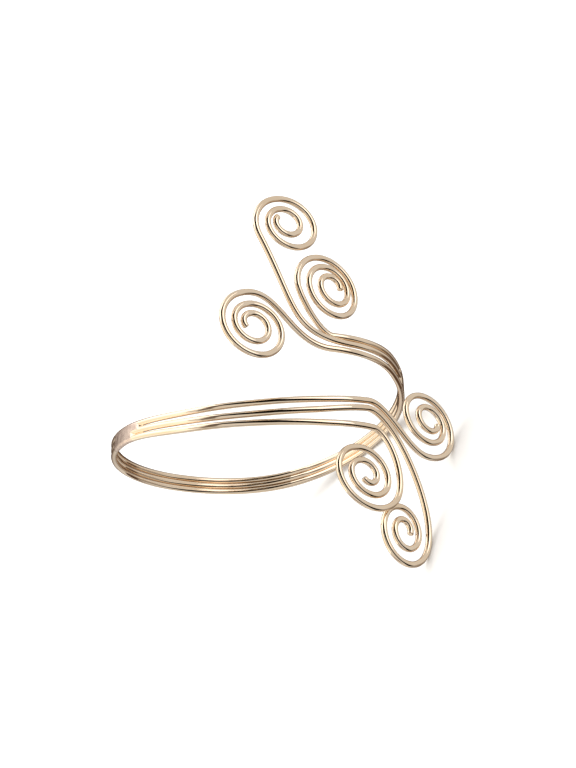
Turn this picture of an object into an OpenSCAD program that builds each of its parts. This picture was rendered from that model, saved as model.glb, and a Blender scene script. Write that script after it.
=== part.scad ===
// Open upper arm cuff of three round wires. The wires run side by side round the arm, are
// soldered to each other at two joints, and fan out at the front into six scrolls.
// The shape is first laid out as worn: Z is the axis of the arm and the scrolls face -Y.
// It is then turned onto its side, as it lies on a table, with the lowest point at z = 0.

/* [Wire] */
// Diameter of the round wire
wire_diameter = 1.7; // [1.3:0.1:2.1]
// Clearance between two strands that lie side by side
strand_clearance = 0.03; // [0.02:0.01:0.2]
// Length of the rounded tip on each cut end
tip_length = 0.4; // [0.2:0.1:0.8]

/* [Hoop] */
// Mean radius of the hoop round the arm
hoop_radius = 40; // [34:0.5:48]
// Height that the band climbs on its way round the arm
band_rise = 22; // [14:0.5:30]

/* [Scroll panel] */
// Distance of the scroll panel in front of the mean hoop radius
panel_offset = 5.5; // [3:0.5:8]
// Radius of the slight bend across the scroll panel
panel_bend_radius = 300; // [200:10:600]
// Distance from the leftmost to the rightmost scroll centre
panel_width = 54; // [48:1:62]
// Distance from the lowest to the highest scroll centre
panel_height = 80; // [72:1:92]

/* [Scrolls] */
// Radius at which a usual scroll starts
scroll_radius = 10.5; // [9:0.1:12]
// Radius at which a usual scroll ends
eye_radius = 2.3; // [1.8:0.1:3]

/* [Solder joints] */
// Depth of the solder below the crowns of the wires
solder_recess = 0.04; // [0.02:0.01:0.2]

/* [Rest] */
// Turn from the worn position onto the side that the cuff lies on, in degrees
rest_turn = 71; // [65:1:75]

/* [Hidden] */

// Facets round a wire, with the corner radius that gives them the area of the round wire
sides = 8;
corner_radius = wire_diameter / 2 * sqrt(2 * PI / (sides * sin(360 / sides)));
// Share of the wire's radius that is left at the tip of a cut end
tip_share = 0.6;

// Steps between the rings of a wire and between the beads of a solder joint
band_step = 7;
scroll_step = 15;
stem_rings = 11;
joint_step = 6;

// The band, in rows from its left end at the front, round the back, to its right end.
// Azimuth is 0 at the front and falls towards the left side. The radius is a share of
// hoop_radius and the height a share of band_rise. The two gaps, from the middle wire to
// the upper and to the lower one, are shares of wire_diameter.
AZIMUTH = 0;
RADIUS = 1;
HEIGHT = 2;
UPPER_GAP = 3;
LOWER_GAP = 4;
BAND = [
    [  30, 1.226, -0.252, 0.35, 3.13],
    [   8, 1.16,  -0.339, 0.25, 1.98],
    [ -12, 1.086, -0.453, 0.69, 1],
    [ -35, 1.016, -0.502, 0.76, 0.4],
    [ -62, 0.961, -0.452, 0.38, 0.27],
    [ -95, 0.939, -0.302, 0,    0],
    [-135, 0.95,  -0.176, 0,    0],
    [-180, 0.983, -0.063, 0,    0],
    [-225, 1.029,  0.041, 0,    0],
    [-262, 1.044,  0.23,  0,    0],
    [-295, 1.08,   0.433, 0,    0.08],
    [-325, 1.092,  0.557, 0,    0.7],
    [-350, 1.133,  0.494, 0,    0.325],
    [-372, 1.049,  0.47,  0.05, 0],
];

// The scrolls, each from its stem inwards. Sense is 1 for anticlockwise seen from the front.
// The centre is given as shares of panel_width and panel_height, the start as a share of
// scroll_radius, the eye as a share of eye_radius, the standoff from the panel as a share of
// wire_diameter. Start and lean are angles. Squash flattens the turns. The centre drifts and
// the turns swell by shares of scroll_radius. The stem leaves the band at an azimuth, and
// its two handles are shares of panel_height.
SENSE = 0;
SIDE = 1;
UP = 2;
OUTER = 3;
EYE = 4;
TURNS = 5;
START = 6;
SQUASH = 7;
LEAN = 8;
STANDOFF = 9;
DRIFT_SIDE = 10;
DRIFT_UP = 11;
SWELL = 12;
LEAVES_AT = 13;
LEAVING = 14;
ARRIVING = 15;
// Each has sense, side, up, outer, eye, turns, start, squash and lean in its first row, then
// standoff, both drifts, swell, and the azimuth and handles of the stem.
TOP_SCROLL = [
    -1, -0.282, 0.507, 1.038, 1.15, 2.17, -151, 0.865, 1.7,
    -0.12, -0.15, 0.1, -0.07, -355.2, 0.243, 0.27,
];
HIGH_SCROLL = [
    -1, -0.075, 0.306, 0.987, 1.035, 2.512, 47.6, 0.883, 139.8,
    0.12, 0.161, 0.126, 0.004, -362, 0.05, 0.04,
];
LEFT_SCROLL = [
    1, -0.49, 0.107, 1.008, 1.086, 2.286, -55.8, 0.897, 161.5,
    0, -0.095, 0.067, -0.044, -362.8, 0.146, 0.133,
];
RIGHT_SCROLL = [
    1, 0.504, -0.085, 1.063, 1.148, 2.229, 109.1, 0.843, 153.8,
    0, 0.226, 0.109, -0.066, 8.5, 0.082, 0.084,
];
LOW_SCROLL = [
    -1, 0.091, -0.331, 1.05, 0.875, 2.3, -170, 0.834, 157,
    0.7, 0, -0.01, -0.015, 10, 0.058, 0.088,
];
FOOT_SCROLL = [
    -1, 0.332, -0.488, 0.88, 0.89, 1.92, -147, 0.877, 107,
    -0.6, 0.055, 0.042, -0.03, 8, 0.115, 0.166,
];

// The wires: place in the band, scroll at the left end, scroll at the right end
PLACE = 0;
LEFT_END = 1;
RIGHT_END = 2;
UPPER = 1;
MIDDLE = 0;
LOWER = -1;
WIRES = [
    [UPPER, RIGHT_SCROLL, HIGH_SCROLL],
    [MIDDLE, FOOT_SCROLL, TOP_SCROLL],
    [LOWER, LOW_SCROLL, LEFT_SCROLL],
];

// The solder joints, each between two neighbouring strands, from one azimuth to another
JOINTS = [
    [UPPER, MIDDLE, -83, -107],
    [MIDDLE, LOWER, -88, -109],
    [UPPER, MIDDLE, -301, -321],
    [MIDDLE, LOWER, -299, -319],
];
solder_radius = wire_diameter / 2 - solder_recess;

function unit(v) = v / norm(v);
function mix(a, b, t) = a * (1 - t) + b * t;
function reversed(list) = [for (i = [len(list) - 1:-1:0]) list[i]];
function outward(azimuth) = [sin(azimuth), -cos(azimuth), 0];
FORWARD = outward(0);

// A smooth curve through one column of the band
function row_before(azimuth, i = 0) =
    i + 2 < len(BAND) && azimuth < BAND[i + 1][AZIMUTH] ? row_before(azimuth, i + 1) : i;
function slope(i, column) =
    let (before = BAND[max(i - 1, 0)], after = BAND[min(i + 1, len(BAND) - 1)])
    (after[column] - before[column]) / (after[AZIMUTH] - before[AZIMUTH]);
function along_band(azimuth, column) =
    let (
        i = row_before(azimuth),
        span = BAND[i + 1][AZIMUTH] - BAND[i][AZIMUTH],
        t = (azimuth - BAND[i][AZIMUTH]) / span
    )
    (1 + 2 * t) * pow(1 - t, 2) * BAND[i][column]
    + t * pow(1 - t, 2) * span * slope(i, column)
    + t * t * (3 - 2 * t) * BAND[i + 1][column]
    + t * t * (t - 1) * span * slope(i + 1, column);

// The middle of a strand in the band. The spacing is square to the strands, so it takes
// more height where the band climbs.
function climb(azimuth) =
    let (
        rise = band_rise * (along_band(azimuth + 1, HEIGHT) - along_band(azimuth - 1, HEIGHT)),
        run = hoop_radius * along_band(azimuth, RADIUS) * 2 * PI / 180
    )
    rise / run;
function spacing(azimuth, gap) =
    (wire_diameter * (1 + along_band(azimuth, gap)) + strand_clearance) * norm([1, climb(azimuth)]);
function strand_height(azimuth, place) =
    band_rise * along_band(azimuth, HEIGHT)
    + (place == UPPER ? spacing(azimuth, UPPER_GAP) : 0)
    - (place == LOWER ? spacing(azimuth, LOWER_GAP) : 0);
function strand_point(azimuth, place) =
    hoop_radius * along_band(azimuth, RADIUS) * outward(azimuth) + [0, 0, strand_height(azimuth, place)];

// The middle of the wire in a scroll, with t from 0 at the stem to 1 at the eye
function panel_point(side, up, standoff) =
    [side, side * side / (2 * panel_bend_radius) - hoop_radius - panel_offset - standoff, up];
function scroll_point(scroll, t) =
    let (
        angle = scroll[START] + scroll[SENSE] * 360 * scroll[TURNS] * t,
        swell = scroll_radius * scroll[SWELL] * 4 * t * (1 - t),
        radius = mix(scroll_radius * scroll[OUTER], eye_radius * scroll[EYE], t) + swell,
        along = radius * cos(angle),
        across = radius * sin(angle) * scroll[SQUASH],
        lean = scroll[LEAN],
        side = panel_width * scroll[SIDE] + scroll_radius * scroll[DRIFT_SIDE] * t,
        up = panel_height * scroll[UP] + scroll_radius * scroll[DRIFT_UP] * t
    )
    panel_point(
        side + along * cos(lean) - across * sin(lean),
        up + along * sin(lean) + across * cos(lean),
        wire_diameter * scroll[STANDOFF]
    );

// The middle of the wire in a stem, with t from 0 at the band to 1 at the scroll.
// way is 1 where the band's azimuth rises towards the stem and -1 where it falls.
function stem_point(scroll, place, way, t) =
    let (
        start = strand_point(scroll[LEAVES_AT], place),
        leaving = unit(start - strand_point(scroll[LEAVES_AT] - way / 2, place)),
        end = scroll_point(scroll, 0),
        arriving = unit(scroll_point(scroll, 0.001) - end),
        first = start + leaving * panel_height * scroll[LEAVING],
        second = end - arriving * panel_height * scroll[ARRIVING]
    )
    pow(1 - t, 3) * start + 3 * pow(1 - t, 2) * t * first + 3 * (1 - t) * t * t * second + t * t * t * end;

// Rows of a wire's path: the middle of the wire, and a direction that a flat faces
function end_rows(scroll, place, way) =
    let (start = outward(scroll[LEAVES_AT]), rings = ceil(360 * scroll[TURNS] / scroll_step))
    [
        for (i = [1:stem_rings])
            let (t = i / (stem_rings + 1))
            [stem_point(scroll, place, way, t), mix(start, FORWARD, t)],
        for (i = [0:rings]) [scroll_point(scroll, i / rings), FORWARD],
    ];
function band_rows(wire) =
    let (
        left = wire[LEFT_END][LEAVES_AT],
        right = wire[RIGHT_END][LEAVES_AT],
        spans = ceil((left - right) / band_step)
    )
    [for (i = [0:spans])
        let (azimuth = mix(left, right, i / spans))
        [strand_point(azimuth, wire[PLACE]), outward(azimuth)]];
function wire_rows(wire) = concat(
    reversed(end_rows(wire[LEFT_END], wire[PLACE], 1)),
    band_rows(wire),
    end_rows(wire[RIGHT_END], wire[PLACE], -1)
);

// The corners of the rings round a wire, one ring for each row and one more at each tip
function ring(middle, along, facing, radius) =
    let (
        forward = unit(along),
        normal = unit(facing - (facing * forward) * forward),
        binormal = cross(forward, normal)
    )
    [for (k = [0:sides - 1])
        let (angle = 360 * (k + 0.5) / sides)
        middle + radius * (cos(angle) * normal + sin(angle) * binormal)];
function tangent(rows, i) = unit(rows[min(i + 1, len(rows) - 1)][0] - rows[max(i - 1, 0)][0]);
function wire_corners(rows) =
    let (last = len(rows) - 1, start = tangent(rows, 0), end = tangent(rows, last))
    [
        each ring(rows[0][0] - start * tip_length, start, rows[0][1], corner_radius * tip_share),
        for (i = [0:last]) each ring(rows[i][0], tangent(rows, i), rows[i][1], corner_radius),
        each ring(rows[last][0] + end * tip_length, end, rows[last][1], corner_radius * tip_share),
    ];

CORNERS = [for (wire = WIRES) wire_corners(wire_rows(wire))];

// The place on the table: turned about Y, centred over the origin, lowest point at z = 0
function turned(p) =
    [p.x * cos(rest_turn) + p.z * sin(rest_turn), p.y, p.z * cos(rest_turn) - p.x * sin(rest_turn)];
TURNED = [for (wire = CORNERS) for (p = wire) turned(p)];
X_VALUES = [for (p = TURNED) p.x];
Y_VALUES = [for (p = TURNED) p.y];
Z_VALUES = [for (p = TURNED) p.z];
middle_x = (min(X_VALUES) + max(X_VALUES)) / 2;
middle_y = (min(Y_VALUES) + max(Y_VALUES)) / 2;
lowest_z = min(Z_VALUES);

module bent_wire(corners) {
    rings = len(corners) / sides;
    walls = [for (i = [0:rings - 2]) for (k = [0:sides - 1])
        let (next = (k + 1) % sides)
        [i * sides + k, (i + 1) * sides + k, (i + 1) * sides + next, i * sides + next]];
    start_cap = [for (k = [0:sides - 1]) k];
    end_cap = [for (k = [sides - 1:-1:0]) (rings - 1) * sides + k];
    polyhedron(points = corners, faces = concat([start_cap], walls, [end_cap]), convexity = 20);
}

module solder_bead(azimuth, place) {
    translate(strand_point(azimuth, place)) sphere(r = solder_radius, $fn = 8);
}

module solder_joint(joint) {
    spans = ceil(abs(joint[3] - joint[2]) / joint_step);
    for (i = [0:spans - 1]) {
        hull() {
            for (azimuth = [mix(joint[2], joint[3], i / spans), mix(joint[2], joint[3], (i + 1) / spans)]) {
                solder_bead(azimuth, joint[0]);
                solder_bead(azimuth, joint[1]);
            }
        }
    }
}

module cuff() {
    color("#d8b48c")
    translate([-middle_x, -middle_y, -lowest_z])
    rotate([0, rest_turn, 0])
    union() {
        for (corners = CORNERS) bent_wire(corners);
        for (joint = JOINTS) solder_joint(joint);
    }
}

cuff();
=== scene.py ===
import math

import bpy
import numpy as np
from mathutils import Matrix, Vector


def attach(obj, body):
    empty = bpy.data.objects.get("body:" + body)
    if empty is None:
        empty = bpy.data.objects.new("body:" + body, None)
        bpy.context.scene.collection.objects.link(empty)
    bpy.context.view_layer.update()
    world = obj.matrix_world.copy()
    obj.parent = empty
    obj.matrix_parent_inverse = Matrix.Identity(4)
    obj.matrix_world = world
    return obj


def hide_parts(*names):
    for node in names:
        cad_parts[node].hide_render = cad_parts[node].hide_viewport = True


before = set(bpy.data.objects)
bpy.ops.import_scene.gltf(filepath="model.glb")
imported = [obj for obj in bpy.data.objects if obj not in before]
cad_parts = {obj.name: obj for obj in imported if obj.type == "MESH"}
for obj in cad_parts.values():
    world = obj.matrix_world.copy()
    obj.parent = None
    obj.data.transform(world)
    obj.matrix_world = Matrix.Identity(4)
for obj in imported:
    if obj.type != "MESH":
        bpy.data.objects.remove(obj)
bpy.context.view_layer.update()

# Sizes of the cuff, in millimetres, as in its construction
MM = 0.001
WIRE_DIAMETER = 1.7
WIRE_RADIUS = WIRE_DIAMETER / 2
STRAND_CLEARANCE = 0.03
TIP_LENGTH = 0.4
HOOP_RADIUS = 40
BAND_RISE = 22
PANEL_OFFSET = 5.5
PANEL_BEND_RADIUS = 300
PANEL_WIDTH = 54
PANEL_HEIGHT = 80
SCROLL_RADIUS = 10.5
EYE_RADIUS = 2.3
REST_TURN = math.radians(71)

# The band from its left end, round the back, to its right end: azimuth, radius, height,
# gap to the upper wire, gap to the lower wire, as shares of the sizes above
BAND = np.array([
    [30, 1.226, -0.252, 0.35, 3.13],
    [8, 1.16, -0.339, 0.25, 1.98],
    [-12, 1.086, -0.453, 0.69, 1],
    [-35, 1.016, -0.502, 0.76, 0.4],
    [-62, 0.961, -0.452, 0.38, 0.27],
    [-95, 0.939, -0.302, 0, 0],
    [-135, 0.95, -0.176, 0, 0],
    [-180, 0.983, -0.063, 0, 0],
    [-225, 1.029, 0.041, 0, 0],
    [-262, 1.044, 0.23, 0, 0],
    [-295, 1.08, 0.433, 0, 0.08],
    [-325, 1.092, 0.557, 0, 0.7],
    [-350, 1.133, 0.494, 0, 0.325],
    [-372, 1.049, 0.47, 0.05, 0],
])
AZIMUTH, RADIUS, HEIGHT, UPPER_GAP, LOWER_GAP = range(5)

# The scrolls, each from its stem inwards, with shares of the sizes above
SCROLL_COLUMNS = (
    "sense", "side", "up", "outer", "eye", "turns", "start", "squash", "lean",
    "standoff", "drift_side", "drift_up", "swell", "leaves_at", "leaving", "arriving",
)
SCROLLS = {
    "top": (-1, -0.282, 0.507, 1.038, 1.15, 2.17, -151, 0.865, 1.7,
            -0.12, -0.15, 0.1, -0.07, -355.2, 0.243, 0.27),
    "high": (-1, -0.075, 0.306, 0.987, 1.035, 2.512, 47.6, 0.883, 139.8,
             0.12, 0.161, 0.126, 0.004, -362, 0.05, 0.04),
    "left": (1, -0.49, 0.107, 1.008, 1.086, 2.286, -55.8, 0.897, 161.5,
             0, -0.095, 0.067, -0.044, -362.8, 0.146, 0.133),
    "right": (1, 0.504, -0.085, 1.063, 1.148, 2.229, 109.1, 0.843, 153.8,
              0, 0.226, 0.109, -0.066, 8.5, 0.082, 0.084),
    "low": (-1, 0.091, -0.331, 1.05, 0.875, 2.3, -170, 0.834, 157,
            0.7, 0, -0.01, -0.015, 10, 0.058, 0.088),
    "foot": (-1, 0.332, -0.488, 0.88, 0.89, 1.92, -147, 0.877, 107,
             -0.6, 0.055, 0.042, -0.03, 8, 0.115, 0.166),
}

# The wires: place in the band, scroll at the left end, scroll at the right end
UPPER, MIDDLE, LOWER = 1, 0, -1
WIRES = {
    "wire_top": (UPPER, "right", "high"),
    "wire_middle": (MIDDLE, "foot", "top"),
    "wire_bottom": (LOWER, "low", "left"),
}

# The solder joints: name, where the two grooves fill up, and where they open again
JOINTS = {
    "solder_left": ((-83, -107), (-88, -109)),
    "solder_right": ((-301, -321), (-299, -319)),
}

# Detail of the meshes: sides round a wire, steps in degrees, rings of a stem, and how a cut end
# narrows, as shares of its length and of the wire's radius
TUBE_SIDES = 28
BAND_STEP = 1.0
SCROLL_STEP = 5.0
STEM_RINGS = 44
TIP_PROFILE = ((0.25, 0.985), (0.55, 0.93), (0.82, 0.82), (1.0, 0.66))


def unit(v):
    """The same directions with length 1."""
    return v / np.linalg.norm(v, axis=-1, keepdims=True)


def outward(azimuth):
    """The direction away from the arm's axis, with azimuth 0 at the front."""
    a = np.radians(azimuth)
    return np.stack([np.sin(a), -np.cos(a), np.zeros_like(a)], -1)


def along_band(azimuth, column):
    """A smooth curve through one column of the band."""
    x, y = BAND[:, AZIMUTH], BAND[:, column]
    slopes = np.empty(len(x))
    slopes[1:-1] = (y[2:] - y[:-2]) / (x[2:] - x[:-2])
    slopes[0] = (y[1] - y[0]) / (x[1] - x[0])
    slopes[-1] = (y[-1] - y[-2]) / (x[-1] - x[-2])
    i = np.clip(np.searchsorted(-x, -azimuth, side="right") - 1, 0, len(x) - 2)
    span = x[i + 1] - x[i]
    t = (azimuth - x[i]) / span
    return ((1 + 2 * t) * (1 - t) ** 2 * y[i] + t * (1 - t) ** 2 * span * slopes[i]
            + t * t * (3 - 2 * t) * y[i + 1] + t * t * (t - 1) * span * slopes[i + 1])


def strand(azimuth, place):
    """The middle of a strand of the band, as worn, in millimetres."""
    azimuth = np.asarray(azimuth, float)
    radius = HOOP_RADIUS * along_band(azimuth, RADIUS)
    rise = BAND_RISE * (along_band(azimuth + 1, HEIGHT) - along_band(azimuth - 1, HEIGHT))
    climb = rise / (radius * math.radians(2))
    height = BAND_RISE * along_band(azimuth, HEIGHT)
    gap = UPPER_GAP if place == UPPER else LOWER_GAP
    spacing = WIRE_DIAMETER * (1 + along_band(azimuth, gap)) + STRAND_CLEARANCE
    height = height + place * spacing * np.hypot(1, climb)
    points = radius[..., None] * outward(azimuth)
    points[..., 2] = height
    return points


def scroll_line(name, t):
    """The middle of the wire in a scroll, with t from 0 at the stem to 1 at the eye."""
    s = dict(zip(SCROLL_COLUMNS, SCROLLS[name]))
    t = np.asarray(t, float)
    angle = np.radians(s["start"] + s["sense"] * 360 * s["turns"] * t)
    swell = SCROLL_RADIUS * s["swell"] * 4 * t * (1 - t)
    radius = SCROLL_RADIUS * s["outer"] * (1 - t) + EYE_RADIUS * s["eye"] * t + swell
    along = radius * np.cos(angle)
    across = radius * np.sin(angle) * s["squash"]
    lean = math.radians(s["lean"])
    side = PANEL_WIDTH * s["side"] + SCROLL_RADIUS * s["drift_side"] * t
    up = PANEL_HEIGHT * s["up"] + SCROLL_RADIUS * s["drift_up"] * t
    side = side + along * math.cos(lean) - across * math.sin(lean)
    up = up + along * math.sin(lean) + across * math.cos(lean)
    depth = side ** 2 / (2 * PANEL_BEND_RADIUS) - HOOP_RADIUS - PANEL_OFFSET
    return np.stack([side, depth - WIRE_DIAMETER * s["standoff"], up], -1)


def stem_line(name, place, way, t):
    """The middle of the wire in a stem, with t from 0 at the band to 1 at the scroll."""
    s = dict(zip(SCROLL_COLUMNS, SCROLLS[name]))
    start, before = strand([s["leaves_at"], s["leaves_at"] - way / 2], place)
    end, after = scroll_line(name, [0, 0.001])
    first = start + unit(start - before) * PANEL_HEIGHT * s["leaving"]
    second = end - unit(after - end) * PANEL_HEIGHT * s["arriving"]
    t = np.asarray(t, float)[:, None]
    return ((1 - t) ** 3 * start + 3 * (1 - t) ** 2 * t * first
            + 3 * (1 - t) * t * t * second + t ** 3 * end)


def end_rows(name, place, way):
    """Points of a stem and its scroll, from the band to the eye, with their facing directions."""
    s = dict(zip(SCROLL_COLUMNS, SCROLLS[name]))
    t = np.arange(1, STEM_RINGS) / STEM_RINGS
    stem = stem_line(name, place, way, t)
    start, forward = outward(s["leaves_at"]), outward(0.0)
    facing = start * (1 - t[:, None]) + forward * t[:, None]
    rings = math.ceil(360 * s["turns"] / SCROLL_STEP)
    scroll = scroll_line(name, np.arange(rings + 1) / rings)
    return np.vstack([stem, scroll]), np.vstack([facing, np.tile(forward, (rings + 1, 1))])


def wire_rows(place, left, right):
    """Points and facing directions of a whole wire, from the left end's eye to the right end's."""
    first = SCROLLS[left][SCROLL_COLUMNS.index("leaves_at")]
    last = SCROLLS[right][SCROLL_COLUMNS.index("leaves_at")]
    azimuth = np.linspace(first, last, math.ceil((first - last) / BAND_STEP))
    left_points, left_facing = end_rows(left, place, 1)
    right_points, right_facing = end_rows(right, place, -1)
    points = np.vstack([left_points[::-1], strand(azimuth, place), right_points])
    facing = np.vstack([left_facing[::-1], outward(azimuth), right_facing])
    return points, facing


def turned(points):
    """From the worn position onto the side that the cuff lies on."""
    c, s = math.cos(REST_TURN), math.sin(REST_TURN)
    x, y, z = np.moveaxis(np.asarray(points, float), -1, 0)
    return np.stack([x * c + z * s, y, z * c - x * s], -1)


def tube(points, facing):
    """Corners and faces of a round wire with rounded cut ends."""
    chords = [points[1:2] - points[:1], points[2:] - points[:-2], points[-1:] - points[-2:-1]]
    along = unit(np.vstack(chords))
    shares = np.ones(len(points))
    tip_points, tip_shares = [], []
    for end, direction in ((points[0], -along[0]), (points[-1], along[-1])):
        steps = [(end + direction * TIP_LENGTH * reach, share) for reach, share in TIP_PROFILE]
        tip_points.append(np.array([p for p, _ in steps]))
        tip_shares.append(np.array([share for _, share in steps]))
    rings = np.vstack([tip_points[0][::-1], points, tip_points[1]])
    count = len(TIP_PROFILE)
    along = np.vstack([np.tile(along[0], (count, 1)), along, np.tile(along[-1], (count, 1))])
    facing = np.vstack([np.tile(facing[0], (count, 1)), facing, np.tile(facing[-1], (count, 1))])
    shares = np.concatenate([tip_shares[0][::-1], shares, tip_shares[1]])
    normal = unit(facing - (facing * along).sum(-1, keepdims=True) * along)
    binormal = np.cross(along, normal)
    angle = 2 * math.pi * np.arange(TUBE_SIDES) / TUBE_SIDES
    circle = np.cos(angle)[:, None] * normal[:, None] + np.sin(angle)[:, None] * binormal[:, None]
    corners = rings[:, None] + WIRE_RADIUS * shares[:, None, None] * circle
    faces = []
    for i in range(len(rings) - 1):
        for k in range(TUBE_SIDES):
            next_k = (k + 1) % TUBE_SIDES
            a, b = i * TUBE_SIDES, (i + 1) * TUBE_SIDES
            faces.append((a + k, a + next_k, b + next_k, b + k))
    faces.append(tuple(reversed(range(TUBE_SIDES))))
    last = (len(rings) - 1) * TUBE_SIDES
    faces.append(tuple(last + k for k in range(TUBE_SIDES)))
    return corners.reshape(-1, 3), faces


WIRE_MESHES = {name: tube(*wire_rows(*row)) for name, row in WIRES.items()}
all_corners = turned(np.vstack([corners for corners, _ in WIRE_MESHES.values()]))
lowest, highest = all_corners.min(0), all_corners.max(0)
SHIFT = np.array([-(lowest[0] + highest[0]) / 2, -(lowest[1] + highest[1]) / 2, -lowest[2]])


def at_rest(points):
    """From the worn position in millimetres to the resting place in metres."""
    return (turned(points) + SHIFT) * MM


def mesh_piece(name, points, faces, material, cover=None):
    """A smooth-shaded piece on the root body; cover, if any, is kept per corner."""
    mesh = bpy.data.meshes.new(name)
    mesh.from_pydata(at_rest(points).tolist(), [], faces)
    mesh.validate()
    mesh.shade_smooth()
    if cover is not None:
        stored = mesh.attributes.new("cover", "FLOAT", "POINT")
        stored.data.foreach_set("value", np.asarray(cover, np.float32))
    piece = bpy.data.objects.new(name, mesh)
    bpy.context.scene.collection.objects.link(piece)
    mesh.materials.append(material)
    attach(piece, "root")
    return piece


# Solder joints: a skin round the three strands, whose grooves fill up towards its middle.
# Steps and fades are in degrees of azimuth, the skin's rise over the strands and its least
# thickness in millimetres. Across the middle strand the skin's end runs over from the upper
# groove's to the lower groove's, at these shares of the height.
JOINT_STEP = 0.25
JOINT_FLAT = 48
JOINT_ROUND = 12
GROOVE_FADE = 1.4
END_FADE = 2.6
SKIN_RISE = 0.03
SKIN_FLOOR = 0.06
CROSSING_START = 0.4
CROSSING_SPAN = 0.2


def smooth(t):
    """A soft rise from 0 to 1."""
    t = np.clip(t, 0, 1)
    return t * t * (3 - 2 * t)


def fading(azimuth, start, end, fade):
    """1 well inside a stretch of the band and 0 outside it."""
    inside = smooth((start + fade - azimuth) / (2 * fade))
    return inside * smooth((azimuth - end + fade) / (2 * fade))


def joint_thickness(azimuth, upper, lower, strands, height):
    """Half the thickness of the three strands with their grooves filled, at each height."""
    top, middle, bottom = strands
    thickness = np.zeros(len(height))
    for point in strands:
        rise = np.clip(1 - ((height - point[2]) / WIRE_RADIUS) ** 2, 0, None)
        thickness = np.maximum(thickness, WIRE_RADIUS * np.sqrt(rise))
    for (start, end), above, below in ((upper, top, middle), (lower, middle, bottom)):
        groove = (height <= above[2]) & (height >= below[2])
        filled = WIRE_RADIUS * fading(azimuth, start, end, GROOVE_FADE)
        thickness = np.where(groove, np.maximum(thickness, filled), thickness)
    return thickness


def joint_ring(azimuth, upper, lower):
    """Corners and cover of one ring of a joint's skin, round all three strands."""
    strands = [strand(azimuth, place) for place in (UPPER, MIDDLE, LOWER)]
    share = np.linspace(0, 1, JOINT_FLAT + 1)
    height = strands[0][2] + (strands[2][2] - strands[0][2]) * share
    thickness = joint_thickness(azimuth, upper, lower, strands, height)
    upper_reach, lower_reach = fading(azimuth, *upper, END_FADE), fading(azimuth, *lower, END_FADE)
    lower_share = smooth((share - CROSSING_START) / CROSSING_SPAN)
    reach = upper_reach + (lower_reach - upper_reach) * lower_share
    proud = SKIN_RISE * (2 * reach - 1)
    radial = outward(azimuth)
    up = np.array([0, 0, 1])
    axis = np.array([strands[1][0], strands[1][1], 0])
    turn = np.linspace(math.pi, 0, JOINT_ROUND + 1)[1:-1, None]
    cap = np.cos(turn) * radial + np.sin(turn) * up
    line = axis + height[:, None] * up
    thick = np.maximum(thickness + proud, SKIN_FLOOR)[:, None]
    corners = np.vstack([
        line + thick * radial,
        axis + height[-1] * up - (WIRE_RADIUS + proud[-1]) * cap,
        (line - thick * radial)[::-1],
        axis + height[0] * up + (WIRE_RADIUS + proud[0]) * cap,
    ])
    side = np.full(JOINT_ROUND - 1, 1.0)
    ring_reach = np.concatenate([reach, side * lower_reach, reach[::-1], side * upper_reach])
    return corners, smooth(2 * ring_reach - 1)


def joint_skin(upper, lower):
    """Corners, faces and cover of one joint's skin, ring by ring along the band."""
    first = max(upper[0], lower[0]) + GROOVE_FADE
    last = min(upper[1], lower[1]) - GROOVE_FADE
    azimuths = np.linspace(first, last, math.ceil((first - last) / JOINT_STEP))
    rings = [joint_ring(azimuth, upper, lower) for azimuth in azimuths]
    count = len(rings[0][0])
    faces = []
    for i in range(len(rings) - 1):
        for k in range(count):
            next_k = (k + 1) % count
            a, b = i * count, (i + 1) * count
            faces.append((a + k, b + k, b + next_k, a + next_k))
    faces.append(tuple(range(count)))
    faces.append(tuple((len(rings) - 1) * count + k for k in reversed(range(count))))
    corners = np.vstack([ring_corners for ring_corners, _ in rings])
    cover = np.concatenate([ring_cover for _, ring_cover in rings])
    return corners, faces, cover


# Materials: colours of the metals
GOLD = (0.94, 0.775, 0.595, 1)
GOLD_WARM = (0.92, 0.735, 0.54, 1)
GOLD_PALE = (0.95, 0.805, 0.645, 1)
SOLDER = (0.74, 0.575, 0.49, 1)
SOLDER_PALE = (0.88, 0.71, 0.6, 1)
SMOOTH_SOLDER = (0.84, 0.67, 0.51, 1)
SMOOTH_SOLDER_PALE = (0.9, 0.73, 0.57, 1)


# Plain plating: colours along its noise, and the range of its roughness
GOLD_STOPS = ((0.32, GOLD_WARM), (0.5, GOLD), (0.7, GOLD_PALE))
GOLD_ROUGHNESS = (0.01, 0.05)
GOLD_COLOR_SCALE = 95
GLOSS_SCALE = 420
GLOSS_DETAIL = 5
WAVE_DETAIL = 1.5


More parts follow.
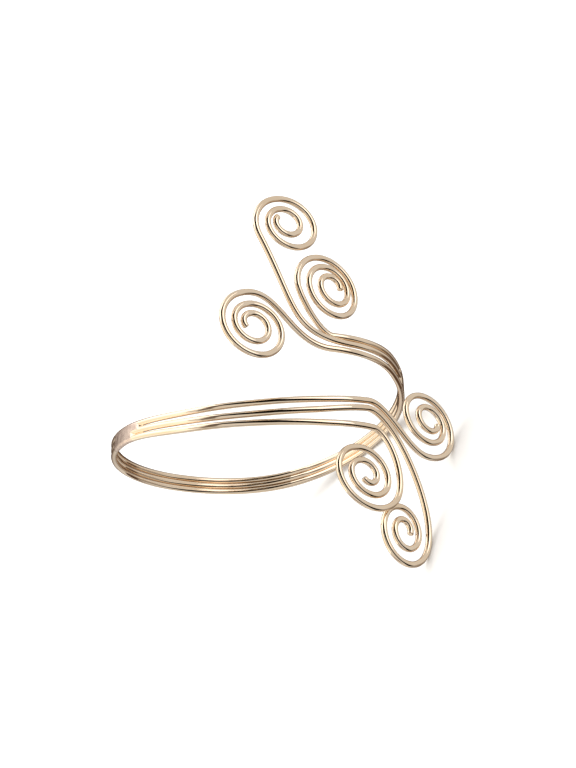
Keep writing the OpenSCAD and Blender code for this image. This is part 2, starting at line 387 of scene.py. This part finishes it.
class Nodes:
    """Short calls for building a node tree."""

    def __init__(self, tree):
        self.tree = tree
        tree.nodes.clear()

    def add(self, kind, **settings):
        """A new node with its settings."""
        node = self.tree.nodes.new(kind)
        for key, value in settings.items():
            setattr(node, key, value)
        return node

    def join(self, output, entry):
        self.tree.links.new(output, entry)

    def noise(self, vector, scale, detail=3.0):
        """Noise over the surface, from 0 to 1."""
        node = self.add("ShaderNodeTexNoise")
        node.inputs["Scale"].default_value = scale
        node.inputs["Detail"].default_value = detail
        self.join(vector, node.inputs["Vector"])
        return node.outputs["Fac"]

    def ramp(self, value, stops):
        """A colour that follows a value through the stops."""
        node = self.add("ShaderNodeValToRGB")
        ramp = node.color_ramp
        while len(ramp.elements) < len(stops):
            ramp.elements.new(0.5)
        for element, (place, color) in zip(ramp.elements, stops):
            element.position = place
            element.color = color
        self.join(value, node.inputs["Fac"])
        return node.outputs["Color"]

    def blend(self, kind, share, first, second):
        """From the first to the second colour or number as share goes from 0 to 1."""
        node = self.add("ShaderNodeMix", data_type=kind)
        entries = [i for i in node.inputs if i.enabled]
        for output, entry in zip((share, first, second), entries):
            self.join(output, entry)
        return [o for o in node.outputs if o.enabled][0]

    def spread(self, value, low, high):
        """A value from 0 to 1, spread from low to high."""
        node = self.add("ShaderNodeMapRange")
        node.inputs["To Min"].default_value = low
        node.inputs["To Max"].default_value = high
        self.join(value, node.inputs["Value"])
        return node.outputs["Result"]


def plating(n, place, color_scale, stops, roughness):
    """A slightly uneven colour and gloss."""
    color = n.ramp(n.noise(place, color_scale), stops)
    return color, n.spread(n.noise(place, GLOSS_SCALE, GLOSS_DETAIL), *roughness)


def plated_metal(name, wave_scale, wave_depth, solder=None):
    """Polished plating with a soft waviness.

    With solder, its colour and gloss lie over the plain plating's as the piece's cover says.
    """
    material = bpy.data.materials.new(name)
    material.use_nodes = True
    n = Nodes(material.node_tree)
    out = n.add("ShaderNodeOutputMaterial")
    metal = n.add("ShaderNodeBsdfPrincipled")
    metal.inputs["Metallic"].default_value = 1.0
    place = n.add("ShaderNodeTexCoord").outputs["Object"]
    color, gloss = plating(n, place, GOLD_COLOR_SCALE, GOLD_STOPS, GOLD_ROUGHNESS)
    if solder:
        cover = n.add("ShaderNodeAttribute", attribute_name="cover").outputs["Fac"]
        solder_color, solder_gloss = plating(n, place, wave_scale, *solder)
        color = n.blend("RGBA", cover, color, solder_color)
        gloss = n.blend("FLOAT", cover, gloss, solder_gloss)
    n.join(color, metal.inputs["Base Color"])
    n.join(gloss, metal.inputs["Roughness"])
    bump = n.add("ShaderNodeBump")
    bump.inputs["Strength"].default_value = 1.0
    bump.inputs["Distance"].default_value = wave_depth
    n.join(n.noise(place, wave_scale, WAVE_DETAIL), bump.inputs["Height"])
    n.join(bump.outputs["Normal"], metal.inputs["Normal"])
    n.join(metal.outputs["BSDF"], out.inputs["Surface"])
    return material


# Solder: colours along its noise, and the range of its roughness
MOTTLED = (((0.4, SOLDER), (0.6, SOLDER_PALE)), (0.2, 0.36))
SMOOTH = (((0.4, SMOOTH_SOLDER), (0.65, SMOOTH_SOLDER_PALE)), (0.14, 0.26))
WIRE_METAL = plated_metal("champagne_plating", wave_scale=260, wave_depth=0.00003)
SOLDER_METALS = {
    "solder_left": plated_metal("mottled_solder", wave_scale=520, wave_depth=0.0001, solder=MOTTLED),
    "solder_right": plated_metal("smooth_solder", wave_scale=300, wave_depth=0.00003, solder=SMOOTH),
}

pieces = []
for name, (corners, faces) in WIRE_MESHES.items():
    pieces.append(mesh_piece(name, corners, faces, WIRE_METAL))
for name, (upper, lower) in JOINTS.items():
    corners, faces, cover = joint_skin(upper, lower)
    pieces.append(mesh_piece(name, corners, faces, SOLDER_METALS[name], cover))
for piece in pieces:
    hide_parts("cuff")

# The camera at the photograph's angle: it looks past the middle of the hoop. Its target is a
# point of the cuff as worn, and its lengths are in millimetres
CAMERA_TARGET = np.array([6.1, -11.2, 12.7])
CAMERA_DISTANCE = 479.4
CAMERA_AZIMUTH = math.radians(36.65)
CAMERA_ELEVATION = math.radians(21.43)
CAMERA_ROLL = math.radians(58.08)
SENSOR = 36.0
LENS = 79.88

level = math.cos(CAMERA_ELEVATION)
ahead = Vector((
    math.sin(CAMERA_AZIMUTH) * level,
    math.cos(CAMERA_AZIMUTH) * level,
    -math.sin(CAMERA_ELEVATION),
))
level_right = ahead.cross(Vector((0, 0, 1))).normalized()
level_up = level_right.cross(ahead)
image_up = level_up * math.cos(CAMERA_ROLL) + level_right * math.sin(CAMERA_ROLL)
image_right = level_right * math.cos(CAMERA_ROLL) - level_up * math.sin(CAMERA_ROLL)
target = Vector(at_rest(CAMERA_TARGET))
place = target - ahead * CAMERA_DISTANCE * MM
camera_data = bpy.data.cameras.new("camera")
camera_data.sensor_width = SENSOR
camera_data.sensor_fit = "AUTO"
camera_data.lens = LENS
camera_data.clip_start = 0.01
camera = bpy.data.objects.new("camera", camera_data)
bpy.context.scene.collection.objects.link(camera)
camera.matrix_world = Matrix((
    (image_right.x, image_up.x, -ahead.x, place.x),
    (image_right.y, image_up.y, -ahead.y, place.y),
    (image_right.z, image_up.z, -ahead.z, place.z),
    (0, 0, 0, 1),
))
bpy.context.scene.camera = camera


# Studio: directions are given as the object sees them, longitude to the image's right and
# latitude to its top, both 0 straight at the camera
CARD_DISTANCE = 0.9
CARD_STEP = 3.0


def toward(longitude, latitude):
    """The unit vector from the object in a direction of the studio."""
    lon, lat = math.radians(longitude), math.radians(latitude)
    return (image_right * math.sin(lon) * math.cos(lat) + image_up * math.sin(lat)
            - ahead * math.cos(lon) * math.cos(lat))


def card_material(name, color, softness):
    """A studio card that fades out towards its edges."""
    material = bpy.data.materials.new(name)
    material.use_nodes = True
    n = Nodes(material.node_tree)
    out = n.add("ShaderNodeOutputMaterial")
    glow = n.add("ShaderNodeEmission")
    glow.inputs["Color"].default_value = (*color, 1)
    clear = n.add("ShaderNodeBsdfTransparent")
    mix = n.add("ShaderNodeMixShader")
    split = n.add("ShaderNodeSeparateXYZ")
    n.join(n.add("ShaderNodeUVMap").outputs["UV"], split.inputs["Vector"])
    fades = []
    for axis in ("X", "Y"):
        centred = n.add("ShaderNodeMath", operation="SUBTRACT")
        centred.inputs[1].default_value = 0.5
        n.join(split.outputs[axis], centred.inputs[0])
        size = n.add("ShaderNodeMath", operation="ABSOLUTE")
        n.join(centred.outputs["Value"], size.inputs[0])
        edge = n.add("ShaderNodeMapRange", interpolation_type="SMOOTHSTEP")
        edge.inputs["From Min"].default_value = 0.5
        edge.inputs["From Max"].default_value = 0.5 - softness / 2
        n.join(size.outputs["Value"], edge.inputs["Value"])
        fades.append(edge.outputs["Result"])
    fade = n.add("ShaderNodeMath", operation="MULTIPLY")
    n.join(fades[0], fade.inputs[0])
    n.join(fades[1], fade.inputs[1])
    n.join(fade.outputs["Value"], mix.inputs["Fac"])
    n.join(clear.outputs["BSDF"], mix.inputs[1])
    n.join(glow.outputs["Emission"], mix.inputs[2])
    n.join(mix.outputs["Shader"], out.inputs["Surface"])
    return material


def card(name, path, width, distance, color, softness):
    """A bent card along a path of directions, which only the polished metal sees."""
    rays = [toward(*path[0])]
    for start, end in zip(path, path[1:]):
        first, last = toward(*start), toward(*end)
        spans = math.ceil(math.degrees(first.angle(last)) / CARD_STEP)
        rays += [first.slerp(last, i / spans) for i in range(1, spans + 1)]
    half = math.tan(math.radians(width / 2))
    corners, faces, places = [], [], []
    for i, ray in enumerate(rays):
        across = (rays[max(i - 1, 0)]).cross(rays[min(i + 1, len(rays) - 1)]).normalized()
        corners += [target + (ray + across * half * side) * distance for side in (-1, 1)]
        places += [(i / (len(rays) - 1), 0), (i / (len(rays) - 1), 1)]
    for i in range(len(rays) - 1):
        faces.append((2 * i, 2 * i + 1, 2 * i + 3, 2 * i + 2))
    mesh = bpy.data.meshes.new(name)
    mesh.from_pydata([tuple(c) for c in corners], [], faces)
    layer = mesh.uv_layers.new(name="UVMap")
    for loop in mesh.loops:
        layer.data[loop.index].uv = places[loop.vertex_index]
    mesh.materials.append(card_material(name, color, softness))
    piece = bpy.data.objects.new(name, mesh)
    bpy.context.scene.collection.objects.link(piece)
    piece.visible_camera = False
    piece.visible_diffuse = False
    piece.visible_shadow = False


# The cards: directions along the middle, width in degrees, distance, colour, softness of the edges
BLACK = (0.01, 0.006, 0.003)
DARK = (0.1, 0.06, 0.038)
DIM = (0.17, 0.14, 0.115)
BROWN = (0.3, 0.26, 0.22)
CREAM = (1.02, 0.94, 0.74)
CARDS = (
    ("card_behind", ((180, 55), (180, -46)), 112, CARD_DISTANCE * 1.1, DARK, 0.7),
    ("card_below", ((75, -22), (145, -22)), 54, CARD_DISTANCE * 1.3, BROWN, 0.7),
    ("card_side", ((-43, 42), (-41, -38)), 15, CARD_DISTANCE * 1.04, DIM, 0.5),
    ("card_end", ((172, -62), (145, -50), (131, -34), (118, -16)), 20, CARD_DISTANCE * 1.06, DARK, 0.5),
    ("card_under", ((-80, -52), (-50, -66), (0, -70), (40, -68)), 20, CARD_DISTANCE * 1.08, DARK, 0.6),
    ("card_left", ((-58, -17), (-90, -20), (-126, -24)), 42, CARD_DISTANCE * 1.12, CREAM, 0.8),
    ("card_lower", ((8, 10), (24, -12), (50, -28), (105, -52)), 36, CARD_DISTANCE * 1.02, BLACK, 0.3),
    ("card_upper", ((-54, 66), (-30, 47), (-7, 28), (22, -4)), 50, CARD_DISTANCE, BLACK, 0.2),
)
for row in CARDS:
    card(*row)

# Floor, which reaches this far each way, in metres
FLOOR_COLOR = (0.93, 0.93, 0.93, 1)
FLOOR_REACH = 3
floor_mesh = bpy.data.meshes.new("floor")
floor_corners = [(x * FLOOR_REACH, y * FLOOR_REACH, 0) for x, y in ((-1, -1), (1, -1), (1, 1), (-1, 1))]
floor_mesh.from_pydata(floor_corners, [], [(0, 1, 2, 3)])
floor = bpy.data.objects.new("floor", floor_mesh)
bpy.context.scene.collection.objects.link(floor)
floor_material = bpy.data.materials.new("floor")
floor_material.use_nodes = True
floor_shader = floor_material.node_tree.nodes["Principled BSDF"]
floor_shader.inputs["Base Color"].default_value = FLOOR_COLOR
floor_shader.inputs["Roughness"].default_value = 0.9
floor_shader.inputs["Specular IOR Level"].default_value = 0.0
floor_mesh.materials.append(floor_material)
floor.visible_glossy = False


def softbox(name, direction, distance, width, height, brightness, color):
    """A soft box, with its brightness as the metal sees it."""
    data = bpy.data.lights.new(name, "AREA")
    data.shape = "RECTANGLE"
    data.size = width
    data.size_y = height
    data.energy = brightness * math.pi * width * height
    data.color = color
    light = bpy.data.objects.new(name, data)
    bpy.context.scene.collection.objects.link(light)
    ray = toward(*direction)
    across = image_up.cross(ray).normalized()
    up = ray.cross(across)
    place = target + ray * distance
    light.matrix_world = Matrix((
        (across.x, up.x, ray.x, place.x),
        (across.y, up.y, ray.y, place.y),
        (across.z, up.z, ray.z, place.z),
        (0, 0, 0, 1),
    ))
    return light


# Lights: direction, distance, width, height, brightness, colour
softbox("softbox_high", (-100, 38), 1.5, 2.3, 1.4, 1.08, (1.0, 0.98, 0.96))
softbox("softbox_low", (-90, -20), 1.5, 2.0, 1.6, 0.64, (1.0, 0.945, 0.82))
softbox("softbox_side", (40, 36), 1.5, 1.0, 1.2, 1.15, (1.0, 0.985, 0.975))
fill = softbox("fill", (-65, 29), 2.2, 4.0, 4.0, 0.8, (1.0, 1.0, 1.0))
fill.visible_glossy = False  # it lights the floor alone, and isn't mirrored

world = bpy.data.worlds.new("studio")
bpy.context.scene.world = world
world.use_nodes = True
background = world.node_tree.nodes["Background"]
background.inputs["Color"].default_value = (1.0, 0.97, 0.93, 1)
background.inputs["Strength"].default_value = 0.7
bpy.context.scene.view_settings.view_transform = "Standard"
